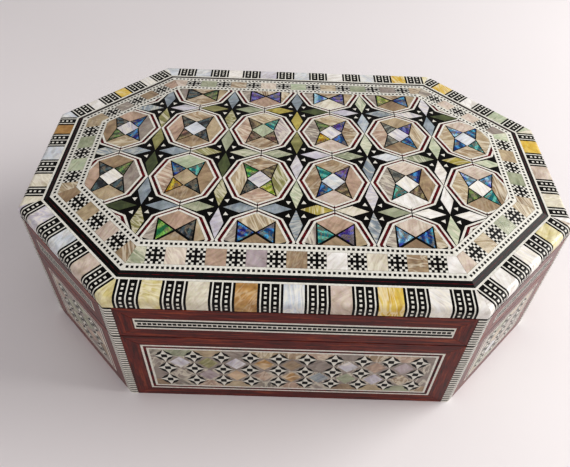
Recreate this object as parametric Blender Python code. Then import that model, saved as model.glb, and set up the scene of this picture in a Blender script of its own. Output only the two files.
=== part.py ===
"""Eight-sided inlaid wooden box with a hinged, shallow-domed lid.

The base and the lid are rings of eight mitred boards. Mosaic panels lie in recesses of the base
boards and inlaid strips in those of the lid boards. The lid's top is a domed board that carries a
pearl border, a black band, two dotted threads, a check band and a field panel. Two brass butt
hinges are let into the back rims.

X runs along the box, the front faces -Y, and Z is up from the surface it stands on. Sizes are in
millimetres and become metres when a mesh or a place is set.
"""
import math

import bmesh
import bpy
from mathutils import Matrix, Vector

MM = 0.001

# Outline
HALF_LENGTH = 122.0
HALF_DEPTH = 81.2
CORNER_CUT = 47.2
WALL = 9.0

# Heights
BASE_HEIGHT = 49.4
SEAM_GAP = 0.4
LID_WALL_HEIGHT = 19.3

# Clearance between pieces that touch, and the depth of the recesses for the inlay
FIT = 0.3
INLAY = 1.2

# Frame of wood left around the inlay of each board
STILE = 10.5
BASE_RAIL_LOW = 6.0
BASE_RAIL_HIGH = 6.4
LID_RAIL_LOW = 5.5
LID_RAIL_HIGH = 6.7

# Top of the lid, from the outer face inwards: width and rise of each band
SKIN = 1.8
BORDER_LIP = 2.0
BORDER_HEIGHT = 6.0
BORDER_WIDTH = 10.6
BORDER_SLOPE = math.radians(3.0)
BORDER_ROUND = 2.5
BLACK_WIDTH, BLACK_RISE = 2.6, 0.9
THREAD_WIDTH = 3.2
OUTER_THREAD_RISE = 0.6
INNER_THREAD_RISE = 0.55
CHECK_WIDTH, CHECK_RISE = 7.7, 1.45
DOME_RISE = 2.3

# Floor, linings and felt
FLOOR_RECESS = 1.5
FLOOR = 5.0
FELT = 0.7
FELT_MARGIN = 2.0
LINING = 1.0
LINING_BELOW_RIM = 0.8
FLOOR_PAD = 2.2
LID_PAD = 1.9

# Hinges
HINGE_LENGTH = 22.0
HINGE_END_MARGIN = 22.0
BARREL_RADIUS = 1.8
BARREL_BACK_MARGIN = 0.2
KNUCKLE_MIDDLE = 7.6
KNUCKLE_GAP = 0.15
LEAF = 1.0
PIN_RADIUS = 0.7
PIN_CLEARANCE = 0.07
SCREW_FROM_END = 3.6
SCREW_HEAD_RADIUS = 1.0
SCREW_HEAD_HEIGHT = 0.75
SCREW_SHANK_RADIUS = 0.5
SCREW_LENGTH = 7.0
LID_STOP = math.radians(100.0)
STOP_CLEARANCE = 0.1

ROUND_STEPS = 24
SCREW_STEPS = 12
ARC_STEPS = 3
DOME_STEPS = (0.0, 0.15, 0.34, 0.56, 0.82)

SIDES = ("front", "front_right", "right", "back_right", "back", "back_left", "left", "front_left")
MITRE = math.tan(math.radians(22.5))

SEAM = BASE_HEIGHT + SEAM_GAP / 2
LID_RIM = BASE_HEIGHT + SEAM_GAP
LID_WALL_TOP = LID_RIM + LID_WALL_HEIGHT
BOARD_BOTTOM = LID_WALL_TOP + FIT
BORDER_INNER_TOP = BOARD_BOTTOM + BORDER_HEIGHT

# The barrel's back is just inside the back face, the leaf stops a fit short of the inner face,
# and the screws sit halfway across the part of the leaf that the other barrel leaves
BARREL_INSET = BARREL_RADIUS + BARREL_BACK_MARGIN
HINGE_Y = HALF_DEPTH - BARREL_INSET
LEAF_WIDTH = WALL - BARREL_INSET - FIT
SCREW_FROM_AXIS = (LEAF_WIDTH + BARREL_RADIUS + FIT) / 2

# Inset of each band's outer edge from the box's outer face
BLACK_INSET = BORDER_WIDTH
OUTER_THREAD_INSET = BLACK_INSET + BLACK_WIDTH
CHECK_INSET = OUTER_THREAD_INSET + THREAD_WIDTH
INNER_THREAD_INSET = CHECK_INSET + CHECK_WIDTH
FIELD_INSET = INNER_THREAD_INSET + THREAD_WIDTH


def clear_scene():
    for old in list(bpy.data.objects):
        bpy.data.objects.remove(old, do_unlink=True)


def make_material(name, colour, roughness, metallic=0.0):
    material = bpy.data.materials.new(name)
    material.use_nodes = True
    shader = material.node_tree.nodes["Principled BSDF"]
    shader.inputs["Base Color"].default_value = (*colour, 1.0)
    shader.inputs["Roughness"].default_value = roughness
    shader.inputs["Metallic"].default_value = metallic
    return material


def add_empty(name, place):
    empty = bpy.data.objects.new(name, None)
    empty.location = Vector(place) * MM
    bpy.context.scene.collection.objects.link(empty)
    return empty


def add_object(name, bm, material, parent, place=(0.0, 0.0, 0.0), turn=0.0):
    """Turn a bmesh drawn in millimetres into an object at a place of the whole box."""
    bmesh.ops.recalc_face_normals(bm, faces=bm.faces)
    bmesh.ops.scale(bm, vec=(MM, MM, MM), verts=bm.verts)
    mesh = bpy.data.meshes.new(name)
    bm.to_mesh(mesh)
    bm.free()
    if material:
        mesh.materials.append(material)
    piece = bpy.data.objects.new(name, mesh)
    piece.parent = parent
    piece.location = Vector(place) * MM - parent.location
    piece.rotation_euler = (0.0, 0.0, turn)
    bpy.context.scene.collection.objects.link(piece)
    return piece


def smooth_round(piece):
    piece.data.shade_smooth()
    piece.data.set_sharp_from_angle(angle=math.radians(40.0))


def combine(piece, tool, operation="DIFFERENCE"):
    """Add a Boolean and mark its tool as a guide that is not part of the box."""
    tool.hide_render = True
    tool.display_type = "WIRE"
    boolean = piece.modifiers.new(operation.lower(), "BOOLEAN")
    boolean.operation = operation
    boolean.object = tool
    boolean.solver = "EXACT"


def box_mesh(low, high):
    bm = bmesh.new()
    bmesh.ops.create_cube(bm, size=1.0)
    size = Vector(high) - Vector(low)
    centre = (Vector(high) + Vector(low)) / 2
    bmesh.ops.scale(bm, vec=size, verts=bm.verts)
    bmesh.ops.translate(bm, vec=centre, verts=bm.verts)
    return bm


def rod_mesh(radius, low, high):
    """A round rod along X from low to high."""
    bm = bmesh.new()
    bmesh.ops.create_cone(
        bm, cap_ends=True, segments=ROUND_STEPS, radius1=radius, radius2=radius, depth=high - low)
    bmesh.ops.rotate(bm, matrix=Matrix.Rotation(math.pi / 2, 3, "Y"), verts=bm.verts)
    bmesh.ops.translate(bm, vec=((low + high) / 2, 0.0, 0.0), verts=bm.verts)
    return bm


def turned_mesh(profile, steps):
    """A solid turned about Z from (radius, height) points that start and end on the axis."""
    bm = bmesh.new()
    points = [bm.verts.new((radius, 0.0, height)) for radius, height in profile]
    for first, second in zip(points, points[1:]):
        bm.edges.new((first, second))
    bmesh.ops.spin(
        bm, geom=bm.verts[:] + bm.edges[:], cent=(0.0, 0.0, 0.0), axis=(0.0, 0.0, 1.0),
        angle=2 * math.pi, steps=steps, use_merge=True)
    bmesh.ops.remove_doubles(bm, verts=bm.verts, dist=1e-5)
    return bm


def octagon(inset):
    """Corners of the outline moved inwards, anticlockwise; side number k starts at corner k."""
    length = HALF_LENGTH - inset
    depth = HALF_DEPTH - inset
    reach = HALF_LENGTH + HALF_DEPTH - CORNER_CUT - inset * math.sqrt(2.0)
    flat_x = reach - depth
    flat_y = reach - length
    return [
        (-flat_x, -depth), (flat_x, -depth), (length, -flat_y), (length, flat_y),
        (flat_x, depth), (-flat_x, depth), (-length, flat_y), (-length, -flat_y)]


def loft_mesh(profile, closed):
    """Join octagons given as (inset, height) corner to corner; a closed profile makes a ring."""
    bm = bmesh.new()
    loops = [[bm.verts.new((x, y, height)) for x, y in octagon(inset)] for inset, height in profile]
    pairs = list(zip(loops, loops[1:]))
    if closed:
        pairs.append((loops[-1], loops[0]))
    else:
        bm.faces.new(loops[0])
        bm.faces.new(loops[-1])
    for first, second in pairs:
        for k in range(8):
            bm.faces.new((first[k - 1], first[k], second[k], second[k - 1]))
    return bm


def top_height(inset):
    """Height of the lid's finished top at an inset from the outer face."""
    bands = (
        (BLACK_WIDTH, BLACK_RISE), (THREAD_WIDTH, OUTER_THREAD_RISE),
        (CHECK_WIDTH, CHECK_RISE), (THREAD_WIDTH, INNER_THREAD_RISE))
    height = BORDER_INNER_TOP
    if inset < BORDER_WIDTH:
        return height - (BORDER_WIDTH - inset) * math.tan(BORDER_SLOPE)
    start = BORDER_WIDTH
    for width, rise in bands:
        height += rise * min(max((inset - start) / width, 0.0), 1.0)
        start += width
    field = max(inset - start, 0.0) / (HALF_DEPTH - start)
    return height + DOME_RISE * (1.0 - (1.0 - field) ** 2)


def dome_insets(edge):
    return [edge + step * (HALF_DEPTH - FIELD_INSET) for step in DOME_STEPS]


def side_place(index):
    """Middle of a side of the outline, its length and its turn about Z."""
    first = Vector((*octagon(0.0)[index], 0.0))
    second = Vector((*octagon(0.0)[(index + 1) % 8], 0.0))
    return (first + second) / 2, (second - first).length, index * math.radians(45.0)


def wall_mesh(length, low, high):
    """A mitred board: its outer face is y = 0 and its thickness runs to +Y."""
    joint = FIT / 2 / math.cos(math.radians(22.5))
    outer = length / 2 - joint
    inner = outer - WALL * MITRE
    bm = bmesh.new()
    foot = bm.faces.new([
        bm.verts.new(point) for point in (
            (-outer, 0.0, low), (outer, 0.0, low), (inner, WALL, low), (-inner, WALL, low))])
    grown = bmesh.ops.extrude_face_region(bm, geom=[foot])
    top = [item for item in grown["geom"] if isinstance(item, bmesh.types.BMVert)]
    bmesh.ops.translate(bm, vec=(0.0, 0.0, high - low), verts=top)
    return bm


def bevel_for_stop(bm, place, turn, direction):
    """Slope a back rim away from the hinge axis, down on the base (-1) and up on the lid (+1)."""
    slope = LID_STOP / 2
    normal = Vector((0.0, math.sin(slope), -direction * math.cos(slope)))
    axis = Vector((0.0, HINGE_Y, SEAM)) - normal * STOP_CLEARANCE
    to_board = Matrix.Rotation(-turn, 3, "Z")
    cut = bmesh.ops.bisect_plane(
        bm, geom=bm.verts[:] + bm.edges[:] + bm.faces[:], dist=1e-5,
        plane_co=to_board @ (axis - place), plane_no=to_board @ normal, clear_outer=True)
    edges = [item for item in cut["geom_cut"] if isinstance(item, bmesh.types.BMEdge)]
    bmesh.ops.holes_fill(bm, edges=edges, sides=0)


def add_boards(body, material, inlay_material, parent, heights, rails):
    """Eight boards of the base or the lid with a recess and its inlay in each. Returns them."""
    low, high = heights
    recess_low, recess_high = low + rails[0], high - rails[1]
    rim_direction = -1 if body == "base" else 1
    boards = {}
    for index, side in enumerate(SIDES):
        place, length, turn = side_place(index)
        bm = wall_mesh(length, low, high)
        if side.startswith("back"):
            bevel_for_stop(bm, place, turn, rim_direction)
        board = add_object(f"{body}_wall_{side}", bm, material, parent, place, turn)
        half = length / 2 - STILE
        depth = INLAY + FIT
        tool = add_object(
            f"recess_{body}_{side}",
            box_mesh((-half, -depth, recess_low), (half, depth, recess_high)),
            None, parent, place, turn)
        combine(board, tool)
        add_object(
            f"{body}_inlay_{side}",
            box_mesh((FIT - half, 0.0, recess_low + FIT), (half - FIT, INLAY, recess_high - FIT)),
            inlay_material, parent, place, turn)
        boards[side] = board
    return boards


def add_floor_and_linings(base, lid, wood, velvet, felt):
    floor_top = FLOOR_RECESS + FLOOR
    pad_low = floor_top + FIT
    lining_outer = WALL + FIT
    lining_inner = lining_outer + LINING
    pad_top = pad_low + FLOOR_PAD

    def slab(name, inset, low, high, material, parent):
        add_object(name, loft_mesh([(inset, low), (inset, high)], False), material, parent)

    def band(name, low, high, parent):
        outline = [
            (lining_outer, low), (lining_outer, high), (lining_inner, high), (lining_inner, low)]
        add_object(name, loft_mesh(outline, True), velvet, parent)

    slab("base_floor_board", WALL + FIT, FLOOR_RECESS, floor_top, wood, base)
    felt_top = FLOOR_RECESS - FIT
    slab("underside_felt", WALL + FELT_MARGIN, felt_top - FELT, felt_top, felt, base)
    slab("base_floor_pad", lining_outer, pad_low, pad_top, velvet, base)
    band("base_wall_lining", pad_top + FIT, BASE_HEIGHT - LINING_BELOW_RIM, base)
    lid_pad_low = LID_WALL_TOP - LID_PAD
    slab("lid_lining_pad", lining_outer, lid_pad_low, LID_WALL_TOP, velvet, lid)
    band("lid_wall_lining", LID_RIM + LINING_BELOW_RIM, lid_pad_low - FIT, lid)


def band_profile(outer, inner):
    """Section of a flat band of the top between two insets, with half a fit at each side."""
    first, last = outer + FIT / 2, inner - FIT / 2
    return [
        (first, top_height(first)), (last, top_height(last)),
        (last, top_height(last) - SKIN), (first, top_height(first) - SKIN)]


def border_profile():
    """Section of the border: a rounded outer lip and a flange that slopes gently outwards."""
    centre = BORDER_ROUND
    height = top_height(centre) - BORDER_ROUND
    outline = [(BORDER_LIP, BOARD_BOTTOM), (0.0, BOARD_BOTTOM)]
    for step in range(ARC_STEPS + 1):
        angle = step / ARC_STEPS * math.pi / 2
        outline.append(
            (centre - BORDER_ROUND * math.cos(angle), height + BORDER_ROUND * math.sin(angle)))
    last = BORDER_WIDTH - FIT / 2
    outline.append((last, top_height(last)))
    outline.append((last, top_height(last) - SKIN))
    outline.append((BORDER_LIP, top_height(BORDER_LIP) - SKIN))
    return outline


def add_top(lid, wood, pearl, black, thread, check):
    board_edges = [
        BORDER_LIP + FIT, BLACK_INSET, OUTER_THREAD_INSET, CHECK_INSET, INNER_THREAD_INSET]
    board = [(board_edges[0], BOARD_BOTTOM)]
    for inset in board_edges + dome_insets(FIELD_INSET):
        board.append((inset, top_height(inset) - SKIN - FIT))
    add_object("lid_board", loft_mesh(board, False), wood, lid)
    add_object("top_border", loft_mesh(border_profile(), True), pearl, lid)
    bands = (
        ("top_black_band", BLACK_INSET, OUTER_THREAD_INSET, black),
        ("top_outer_thread", OUTER_THREAD_INSET, CHECK_INSET, thread),
        ("top_check_band", CHECK_INSET, INNER_THREAD_INSET, check),
        ("top_inner_thread", INNER_THREAD_INSET, FIELD_INSET, thread))
    for name, outer, inner, material in bands:
        add_object(name, loft_mesh(band_profile(outer, inner), True), material, lid)
    insets = dome_insets(FIELD_INSET)
    insets[0] += FIT / 2
    field = [(inset, top_height(inset) - SKIN) for inset in reversed(insets)]
    field += [(inset, top_height(inset)) for inset in insets]
    add_object("top_field_panel", loft_mesh(field, False), pearl, lid)


def leaf_tools(side, number, parent, place, knuckles, own_length):
    """Guides that shape one leaf: its own barrel, the room for the other leaf, and the bore."""
    name = f"{side}_{number}"
    barrel = add_object(
        f"barrel_{name}", rod_mesh(BARREL_RADIUS, -own_length / 2, own_length / 2),
        None, parent, place)
    rooms = []
    for count, (low, high) in enumerate(knuckles):
        rooms.append(add_object(
            f"room_{name}_{count}", rod_mesh(BARREL_RADIUS + FIT, low, high),
            None, parent, place))
    bore = add_object(
        f"bore_{name}",
        rod_mesh(PIN_RADIUS + PIN_CLEARANCE, -HINGE_LENGTH, HINGE_LENGTH), None, parent, place)
    return barrel, rooms, bore


def screw_profile(clearance):
    """Section of a countersunk screw, head down; the clearance makes the hole for it."""
    top = -LEAF + SCREW_HEAD_HEIGHT + clearance
    head = SCREW_HEAD_RADIUS + clearance
    shank = SCREW_SHANK_RADIUS + clearance
    foot = -SCREW_LENGTH - clearance
    return [(0.0, top), (head, top), (shank, -LEAF), (shank, foot), (0.0, foot)]


def add_hinge(label, x, base, lid, base_board, lid_board, brass):
    """One butt hinge: two leaves, a pin and two screws for each leaf."""
    axis = (x, HINGE_Y, SEAM)
    half = HINGE_LENGTH / 2
    middle = KNUCKLE_MIDDLE / 2
    lid_end = middle - KNUCKLE_GAP
    outer_rooms = [(-half - FIT, -lid_end), (lid_end, half + FIT)]
    leaves = (
        ("base", base, base_board, -1, [(-middle, middle)], HINGE_LENGTH),
        ("lid", lid, lid_board, 1, outer_rooms, KNUCKLE_MIDDLE))
    for side, parent, board, up, knuckles, own_length in leaves:
        rim = up * SEAM_GAP / 2
        low, high = sorted((rim, rim + up * LEAF))
        leaf = add_object(
            f"hinge_{label}_{side}_leaf", box_mesh((-half, -LEAF_WIDTH, low), (half, 0.0, high)),
            brass, parent, axis)
        barrel, rooms, bore = leaf_tools(side, label, parent, axis, knuckles, own_length)
        combine(leaf, barrel, "UNION")
        for tool in rooms + [bore]:
            combine(leaf, tool)
        pocket = add_object(
            f"pocket_{side}_{label}",
            box_mesh(
                (-half - FIT, -LEAF_WIDTH - FIT, low - FIT), (half + FIT, 0.0, high + FIT)),
            None, parent, axis)
        barrel_pocket = add_object(
            f"barrel_pocket_{side}_{label}",
            rod_mesh(BARREL_RADIUS + FIT, -half - FIT, half + FIT), None, parent, axis)
        combine(board, pocket)
        combine(board, barrel_pocket)
        for letter, along in (("a", SCREW_FROM_END - half), ("b", half - SCREW_FROM_END)):
            head = (x + along, HINGE_Y - SCREW_FROM_AXIS, SEAM + rim)
            for clearance, kind in ((0.0, "screw"), (FIT, "screw_hole")):
                bm = turned_mesh(screw_profile(clearance), SCREW_STEPS)
                if up > 0:
                    bmesh.ops.rotate(
                        bm, matrix=Matrix.Rotation(math.pi, 3, "X"), verts=bm.verts)
                name = f"hinge_{label}_{side}_{kind}_{letter}"
                piece = add_object(name, bm, brass, parent, head)
                smooth_round(piece)
                if clearance:
                    combine(leaf, piece)
                    combine(board, piece)
        smooth_round(leaf)
    pin = add_object(
        f"hinge_{label}_pin", rod_mesh(PIN_RADIUS, -half, half), brass, base, axis)
    smooth_round(pin)


def build():
    clear_scene()
    walnut = make_material("walnut_frame", (0.115, 0.025, 0.015), 0.38)
    core = make_material("core_board", (0.33, 0.19, 0.10), 0.7)
    mosaic = make_material("side_mosaic", (0.48, 0.42, 0.36), 0.3)
    strip = make_material("side_strip", (0.42, 0.41, 0.37), 0.35)
    pearl = make_material("pearl_inlay", (0.62, 0.58, 0.50), 0.2)
    black = make_material("ebony_band", (0.008, 0.007, 0.007), 0.25)
    thread = make_material("bone_thread", (0.60, 0.60, 0.54), 0.35)
    check = make_material("check_inlay", (0.40, 0.35, 0.29), 0.3)
    velvet = make_material("velvet_lining", (0.16, 0.008, 0.014), 0.95)
    felt = make_material("underside_felt", (0.03, 0.03, 0.03), 1.0)
    brass = make_material("hinge_brass", (0.72, 0.50, 0.20), 0.3, 1.0)

    base = add_empty("base_origin", (0.0, 0.0, 0.0))
    lid = add_empty("lid_hinge_axis", (0.0, HINGE_Y, SEAM))

    base_boards = add_boards(
        "base", walnut, mosaic, base, (0.0, BASE_HEIGHT), (BASE_RAIL_LOW, BASE_RAIL_HIGH))
    lid_boards = add_boards(
        "lid", walnut, strip, lid, (LID_RIM, LID_WALL_TOP), (LID_RAIL_LOW, LID_RAIL_HIGH))
    add_floor_and_linings(base, lid, core, velvet, felt)
    add_top(lid, core, pearl, black, thread, check)

    back_half = octagon(0.0)[4][0]
    hinge_x = back_half - HINGE_END_MARGIN - HINGE_LENGTH / 2
    for label, x in (("left", -hinge_x), ("right", hinge_x)):
        add_hinge(label, x, base, lid, base_boards["back"], lid_boards["back"], brass)


build()
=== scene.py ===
"""Looks of an eight-sided inlaid wooden box with a hinged, shallow-domed lid.

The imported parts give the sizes. Every board, inlaid tile, lining and strip that shows is made here
round them. Sizes are in millimetres and become metres when a mesh is written. Each side of the
outline is drawn as if it were the front one, with its outer face at y = 0 and the box behind it,
and is then turned to its place.
"""
import math
import random
from functools import partial

import bmesh
import bpy
from mathutils import Matrix, Vector, noise


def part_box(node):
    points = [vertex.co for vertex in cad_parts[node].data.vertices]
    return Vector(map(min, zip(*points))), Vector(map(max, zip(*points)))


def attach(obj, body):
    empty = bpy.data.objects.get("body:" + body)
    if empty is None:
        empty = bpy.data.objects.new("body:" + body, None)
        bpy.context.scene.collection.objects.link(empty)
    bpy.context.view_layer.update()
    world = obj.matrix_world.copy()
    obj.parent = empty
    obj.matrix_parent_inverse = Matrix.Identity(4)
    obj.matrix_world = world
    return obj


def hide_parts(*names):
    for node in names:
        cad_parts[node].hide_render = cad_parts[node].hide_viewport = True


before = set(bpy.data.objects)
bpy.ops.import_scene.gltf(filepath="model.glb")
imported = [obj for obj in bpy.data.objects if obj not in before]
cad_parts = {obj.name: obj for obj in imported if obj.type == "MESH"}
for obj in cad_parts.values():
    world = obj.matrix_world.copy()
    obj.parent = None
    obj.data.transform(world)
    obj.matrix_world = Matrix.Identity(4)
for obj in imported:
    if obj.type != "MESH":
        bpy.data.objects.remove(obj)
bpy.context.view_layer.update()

MM = 0.001


def node_low(name):
    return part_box(name)[0] / MM


def node_high(name):
    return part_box(name)[1] / MM


# Outline and heights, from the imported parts
FIT = 0.3
JOINT = FIT / 2 / math.cos(math.radians(22.5))
MITRE = math.tan(math.radians(22.5))
HALF_LENGTH = node_high("top_border").x
HALF_DEPTH = node_high("top_border").y
CORNER_CUT = HALF_LENGTH - node_high("base_wall_front").x - JOINT
WALL = node_high("base_wall_front").y + HALF_DEPTH
BASE_TOP = node_high("base_wall_front").z
LID_LOW = node_low("lid_wall_front").z
LID_TOP = node_high("lid_wall_front").z
BORDER_FOOT = node_low("top_border").z
STILE = HALF_LENGTH - CORNER_CUT - node_high("base_inlay_front").x - FIT
PANEL_LOW = node_low("base_inlay_front").z - FIT
PANEL_HIGH = node_high("base_inlay_front").z + FIT
STRIP_LOW = node_low("lid_inlay_front").z - FIT
STRIP_HIGH = node_high("lid_inlay_front").z + FIT
HINGE_Y = (node_low("hinge_left_pin").y + node_high("hinge_left_pin").y) / 2
HINGE_Z = (node_low("hinge_left_pin").z + node_high("hinge_left_pin").z) / 2

# Section of the top: width and rise of each band from the border inwards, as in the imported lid
BORDER_WIDTH = 10.6
BORDER_SLOPE = math.radians(3.0)
BORDER_ROUND = 2.5
BORDER_INNER_TOP = BORDER_FOOT + 6.0
BLACK_WIDTH, BLACK_RISE = 2.6, 0.9
THREAD_WIDTH = 3.2
OUTER_THREAD_RISE = 0.6
INNER_THREAD_RISE = 0.55
CHECK_WIDTH, CHECK_RISE = 7.7, 1.45
DOME_RISE = 2.3
BLACK_INSET = BORDER_WIDTH
OUTER_THREAD_INSET = BLACK_INSET + BLACK_WIDTH
CHECK_INSET = OUTER_THREAD_INSET + THREAD_WIDTH
INNER_THREAD_INSET = CHECK_INSET + CHECK_WIDTH
FIELD_INSET = INNER_THREAD_INSET + THREAD_WIDTH

# Inlay: how deep a tile is, how far the black ground lies under it, the glue line round it, how much
# prouder a piece set into it is, and how near two points count as one
TILE = 0.7
GROUND_DROP = 0.2
GLUE = 0.07
SET_IN = 0.03
TOUCH = 1e-4

# Border: widths of the strips in a bar, and the squares set into its black strips
BAR_LINE = 0.9
BAR_BONE = 0.62
BAR_STRIP = 3.15
BAR_DOT = 1.05
BAR_DOT_PITCH = 2.1
BORDER_BONE = 1.05

# Bands: the gap on each side of one, the two ebony strips with a red line between them, the threads
# and the check squares
BAND_GAP = 0.03
BLACK_BAND = (1.15, 0.24, 1.15)
THREAD_DOT = 1.1
THREAD_DOT_PITCH = 2.0
CHECK_CELLS = ("W.W.W.W", ".W...W.", "W.W.W.W", ".......", "W.W.W.W", ".W...W.", "W.W.W.W")
CHECK_LENGTH = 7.7
CELL_GAP = 0.02

# Field: pitch of the octagons and of the stars between them
PITCH_X = 33.2
PITCH_Y = 35.2
FIELD_SHIFT = -0.6
OCTAGON_DIAGONAL = (11.1, 12.0)
STEEP_WIDTHS = (1.0, 1.25, 1.0)
SHALLOW_WIDTHS = (0.9, 0.7, 0.9)
SQUARE_TIP = 5.4
ABALONE_LINE = 0.48
BONE_TRIANGLE = 1.25

# Walls: thickness of the frame of sticks, width of the striped strips, lines round the mosaic
VENEER = 1.5
CORNER_STRIP = 3.3
CORNER_ROUND = 1.6
STRIPE_BLACK = 0.72
STRIPE_BONE = 1.08
PANEL_LINES = (1.0, 1.2, 1.0)
MOSAIC_ROWS = 3
MOSAIC_PITCH = 12.3

SIDES = ("front", "front_right", "right", "back_right", "back", "back_left", "left", "front_left")


# ---------------------------------------------------------------- outline and surfaces

def octagon(inset):
    """Corners of the outline moved inwards, anticlockwise; side number k starts at corner k."""
    length = HALF_LENGTH - inset
    depth = HALF_DEPTH - inset
    reach = HALF_LENGTH + HALF_DEPTH - CORNER_CUT - inset * math.sqrt(2.0)
    flat_x = reach - depth
    flat_y = reach - length
    return [
        (-flat_x, -depth), (flat_x, -depth), (length, -flat_y), (length, flat_y),
        (flat_x, depth), (-flat_x, depth), (-length, flat_y), (-length, -flat_y)]


def side_frame(index):
    """Matrix that takes a side drawn as the front one to its place, and the side's length."""
    first = Vector((*octagon(0.0)[index], 0.0))
    second = Vector((*octagon(0.0)[(index + 1) % 8], 0.0))
    turn = Matrix.Rotation(index * math.radians(45.0), 4, "Z")
    return Matrix.Translation((first + second) / 2) @ turn, (second - first).length


def inset_at(x, y):
    """Distance from a point of the plan to the outer face of the nearest side."""
    slant = (HALF_LENGTH + HALF_DEPTH - CORNER_CUT - abs(x) - abs(y)) / math.sqrt(2.0)
    return min(HALF_LENGTH - abs(x), HALF_DEPTH - abs(y), slant)


def top_height(inset):
    """Height of the lid's finished top at an inset from the outer face."""
    bands = (
        (BLACK_WIDTH, BLACK_RISE), (THREAD_WIDTH, OUTER_THREAD_RISE),
        (CHECK_WIDTH, CHECK_RISE), (THREAD_WIDTH, INNER_THREAD_RISE))
    height = BORDER_INNER_TOP
    if inset < BORDER_WIDTH:
        return height - (BORDER_WIDTH - inset) * math.tan(BORDER_SLOPE)
    start = BORDER_WIDTH
    for width, rise in bands:
        height += rise * min(max((inset - start) / width, 0.0), 1.0)
        start += width
    field = max(inset - start, 0.0) / (HALF_DEPTH - start)
    return height + DOME_RISE * (1.0 - (1.0 - field) ** 2)


def on_top(point):
    """A plan point (x, y) with a level above the finished top, as a place in the box."""
    return Vector((point.x, point.y, top_height(inset_at(point.x, point.y)) + point.z))


LIP = top_height(BORDER_ROUND) - BORDER_ROUND - BORDER_FOOT
BORDER_ARC = BORDER_ROUND * math.pi / 2
BORDER_RUN = LIP + BORDER_ARC + (BORDER_WIDTH - BORDER_ROUND) / math.cos(BORDER_SLOPE)


def on_border(point):
    """(along, up the lip and over the top, level) as a place on a side drawn as the front one."""
    run, level = point.y, point.z
    if run < LIP:
        return Vector((point.x, -level, BORDER_FOOT + run))
    centre = Vector((0.0, BORDER_ROUND, BORDER_FOOT + LIP))
    if run < LIP + BORDER_ARC:
        angle = (run - LIP) / BORDER_ROUND
        outward = Vector((0.0, -math.cos(angle), math.sin(angle)))
        return Vector((point.x, 0.0, 0.0)) + centre + outward * (BORDER_ROUND + level)
    inset = BORDER_ROUND + (run - LIP - BORDER_ARC) * math.cos(BORDER_SLOPE)
    return Vector((point.x, inset, top_height(inset) + level))


def on_wall(point):
    """(along, up, level) as a place on a side drawn as the front one, the level outwards."""
    return Vector((point.x, -point.z, point.y))


# ---------------------------------------------------------------- colours and materials

def linear(colour):
    """An sRGB hex colour as linear red, green, blue and alpha."""
    parts = [int(colour[k:k + 2], 16) / 255 for k in (1, 3, 5)]
    return (*[c / 12.92 if c <= 0.04045 else ((c + 0.055) / 1.055) ** 2.4 for c in parts], 1.0)


# Shell colours, each with the second colour that plays through it
SHELL = {
    "white": ("#E6E5E2", "#F5F4F1"), "lilac": ("#BFBECB", "#D9D8DF"),
    "ice": ("#C2CBD6", "#DFE4E8"), "sky": ("#98A7B6", "#BAC6CF"),
    "slate": ("#7B8893", "#9EAAB3"), "sage": ("#8E977F", "#ACB39B"),
    "mint": ("#A9B79E", "#C6CFB6"), "olive": ("#7F7F52", "#9C9B69"),
    "gold": ("#9C9144", "#BDB163"), "amber": ("#A07A44", "#BE9860"),
    "yellow": ("#D0AC34", "#E0C870"), "butter": ("#D2C78C", "#ECE6C6"),
    "cream": ("#D0CBB8", "#E4E0D2"), "sand": ("#A39378", "#C0B194"),
    "tan": ("#8A765F", "#AC987C"), "rose": ("#A28C7C", "#C4AC9A"),
    "blush": ("#BFB0A3", "#DACEC3"), "peach": ("#BFA488", "#D6BFA2"),
    "smoke": ("#77736D", "#A0988D"), "moss": ("#3E4830", "#5B663F"),
    "taupe": ("#89807A", "#A29A92"), "mauve": ("#9E9397", "#B8AEB3")}
ABALONE = {
    "teal": ("#1F6F74", "#7DBDB0"), "cobalt": ("#26406F", "#6C9BC6"),
    "violet": ("#453F7C", "#8885BE"), "ink": ("#23292C", "#56666A"),
    "green": ("#2F6B42", "#94BA70"), "lime": ("#7E9044", "#C3C884"),
    "umber": ("#54463A", "#9B8A72"), "amber": ("#9C7E34", "#D0BC6C"),
    "azure": ("#5E86AC", "#B0CADD"), "fern": ("#3D5236", "#869A66"),
    "smoke": ("#525552", "#959890")}


def make_material(name, recipe, **plain):
    """A material from its Principled shader's plain values and a recipe.

    The recipe is called with a function that adds nodes and returns what to wire to the shader.
    """
    material = bpy.data.materials.new(name)
    material.use_nodes = True
    tree = material.node_tree

    def wire(node, sockets):
        for socket, value in sockets.items():
            socket = node.inputs[socket.replace("_", " ")] if isinstance(socket, str) else socket
            if isinstance(value, bpy.types.NodeSocket):
                tree.links.new(value, socket)
            else:
                socket.default_value = value

    def add(kind, *values, out=None, stops=(), **named):
        """Add a node and return the output called out, or its first.

        The values go to its first sockets. Of the named ones, those with a capital are sockets and
        the others are settings. stops are a ramp's positions and hex colours.
        """
        node = tree.nodes.new("ShaderNode" + kind)
        for setting in [name for name in named if name[0].islower()]:
            setattr(node, setting, named.pop(setting))
        wire(node, dict(zip((socket for socket in node.inputs if socket.enabled), values)))
        wire(node, named)
        while stops and len(node.color_ramp.elements) < len(stops):
            node.color_ramp.elements.new(1.0)
        for number, (position, colour) in enumerate(stops):
            node.color_ramp.elements[number].position = position
            node.color_ramp.elements[number].color = linear(colour)
        return node.outputs[out] if out else next(end for end in node.outputs if end.enabled)

    shader = tree.nodes["Principled BSDF"]
    wire(shader, plain)
    wire(shader, recipe(add))
    return material


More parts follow.
